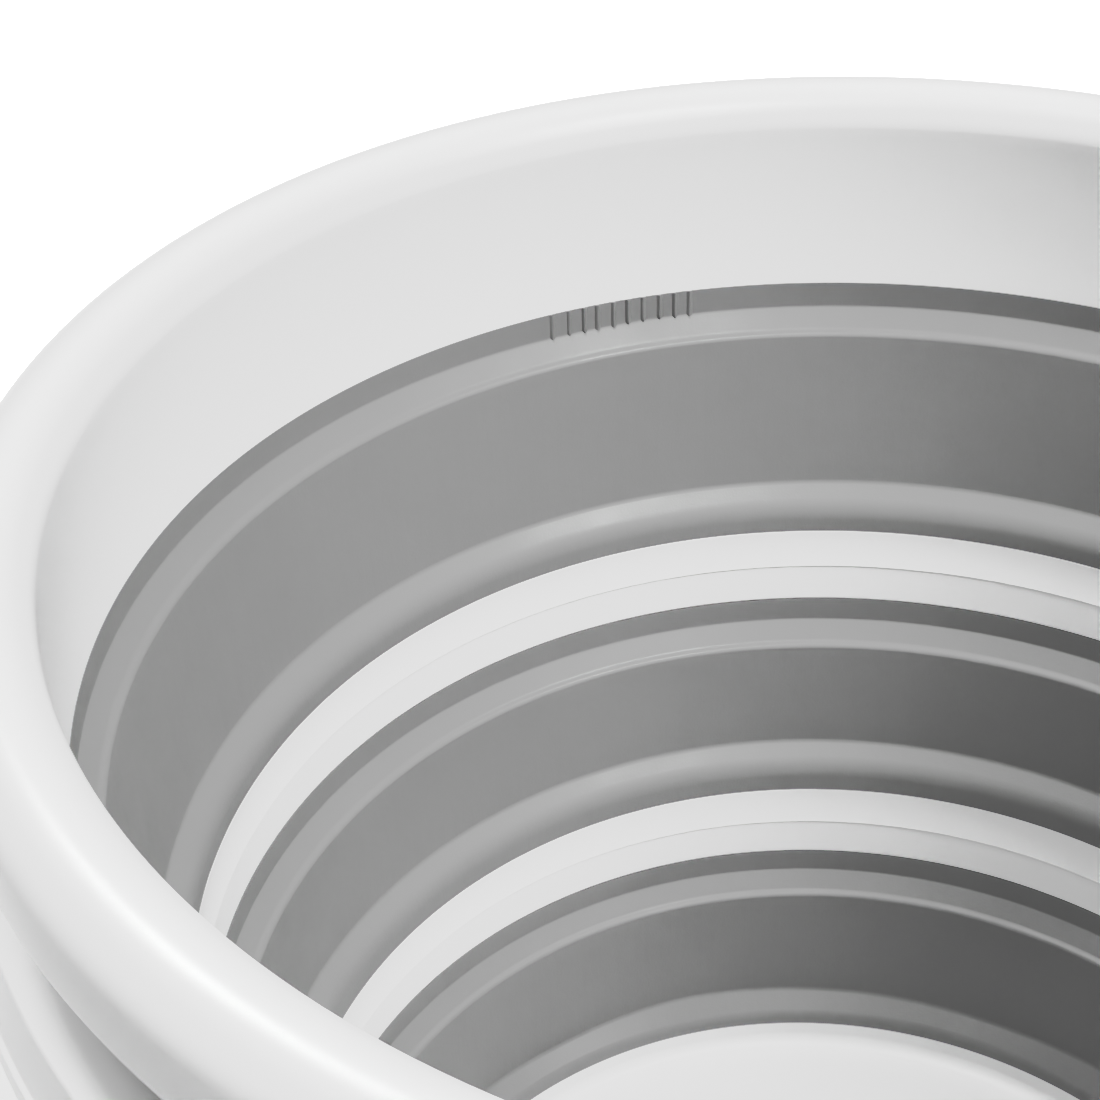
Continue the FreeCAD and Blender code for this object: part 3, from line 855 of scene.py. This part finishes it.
def studio_floor():
    """A plain floor that glows white behind the basin; towards the front left its colour and glow fade to
    light grey, a painted shade for light falling off there.
    """
    builder = bmesh.new()
    bmesh.ops.create_grid(builder, x_segments=2, y_segments=2, size=FLOOR_HALF_WIDTH)
    shader = Shader("pale_floor", Roughness=0.7, Emission_Color=(1, 1, 1, 1))
    towards = shader.nodes.new("ShaderNodeVectorMath")
    towards.operation = "DOT_PRODUCT"
    towards.inputs[1].default_value = PAINTED_SHADE_TOWARDS
    shader.links.new(shader.place, towards.inputs[0])
    # painted shade: darker colour and less glow towards the front left
    painted_shade = shader.remap(towards.outputs["Value"], PAINTED_SHADE_FROM, PAINTED_SHADE_TO, 0.0, 1.0)
    tone = shader.mix(shader.noise(1.5, 2.0), grey(0.90), grey(0.92))
    shader.set("Base Color", shader.mix(painted_shade, tone, grey(PAINTED_SHADE_TONE)))
    shader.set("Emission Strength", shader.remap(painted_shade, 0.0, 1.0, FLOOR_GLOW, 0.0))
    floor = new_piece("studio_floor", builder, shader.material)


LIGHT_TARGET = Vector((0, 0, 0.2))


def soft_light(name, place, size, power):
    """A square area light that faces the basin; metres and watts."""
    data = bpy.data.lights.new(name, "AREA")
    data.shape = "SQUARE"
    data.size = size
    data.energy = power
    light = bpy.data.objects.new(name, data)
    light.location = place
    light.rotation_mode = "QUATERNION"
    light.rotation_quaternion = (LIGHT_TARGET - Vector(place)).to_track_quat("-Z", "Y")
    bpy.context.scene.collection.objects.link(light)


def graded_surroundings(horizon, zenith):
    """White surroundings that brighten from the horizon to straight above."""
    world = bpy.data.worlds.new("soft_surroundings")
    world.use_nodes = True
    nodes, links = world.node_tree.nodes, world.node_tree.links
    background = nodes["Background"]
    background.inputs["Color"].default_value = (1, 1, 1, 1)
    split = nodes.new("ShaderNodeSeparateXYZ")
    links.new(nodes.new("ShaderNodeTexCoord").outputs["Generated"], split.inputs["Vector"])
    grade = nodes.new("ShaderNodeMapRange")
    grade.interpolation_type = "SMOOTHSTEP"
    for index, number in enumerate((0.0, 1.0, horizon, zenith), start=1):
        grade.inputs[index].default_value = number
    links.new(split.outputs["Z"], grade.inputs["Value"])
    links.new(grade.outputs["Result"], background.inputs["Strength"])
    bpy.context.scene.world = world


TONE_WHITE = 1.60              # scene brightness that shows as full white
TONE_CURVE = (
    (0.12, 0.095), (0.15, 0.165), (0.185, 0.29),    # deep greys of the bands' walls
    (0.235, 0.39), (0.30, 0.46),                    # ledges and shoulders
    (0.36, 0.61), (0.45, 0.73),                     # white plastic inside
    (0.72, 0.79), (0.90, 0.86),                     # the rim, up to the white floor
)


def studio_tones():
    """A printed-catalogue tone curve: deeper greys, and whites that roll off gently."""
    settings = bpy.context.scene.view_settings
    settings.view_transform = "Standard"
    settings.use_curve_mapping = True
    mapping = settings.curve_mapping
    mapping.white_level = (TONE_WHITE, TONE_WHITE, TONE_WHITE)
    for bright, shown in TONE_CURVE:
        mapping.curves[3].points.new(bright, shown)
    mapping.update()


CAMERA_BACK = 0.3770           # metres in front of the basin's axis
CAMERA_ABOVE_LIP = 0.2931      # metres
CAMERA_YAW = -11.82            # degrees to the right of +Y, so this looks to the left
CAMERA_DOWN = 35.07            # degrees below the horizon
CAMERA_LENS = 73.85
CAMERA_SENSOR = 36.0


def make_camera():
    """The photograph's view: from the front, down over the near rim and a little to the left."""
    yaw, down = math.radians(CAMERA_YAW), math.radians(CAMERA_DOWN)
    forward = Vector((math.sin(yaw) * math.cos(down), math.cos(yaw) * math.cos(down), -math.sin(down)))
    data = bpy.data.cameras.new("camera")
    data.sensor_width = CAMERA_SENSOR
    data.lens = CAMERA_LENS
    data.clip_start = 0.01
    camera = bpy.data.objects.new("camera", data)
    camera.location = (0, -CAMERA_BACK, LIP_Z * MM + CAMERA_ABOVE_LIP)
    camera.rotation_mode = "QUATERNION"
    camera.rotation_quaternion = forward.to_track_quat("-Z", "Y")
    bpy.context.scene.collection.objects.link(camera)
    bpy.context.scene.camera = camera


studio_floor()
graded_surroundings(0.08, 0.50)
soft_light("key_light", (1.28, -0.74, 2.09), 1.5, 54)
soft_light("top_light", (-0.50, -0.50, 2.60), 1.0, 12)
soft_light("left_light", (-1.25, 0.60, 2.30), 1.2, 30)
make_camera()
studio_tones()
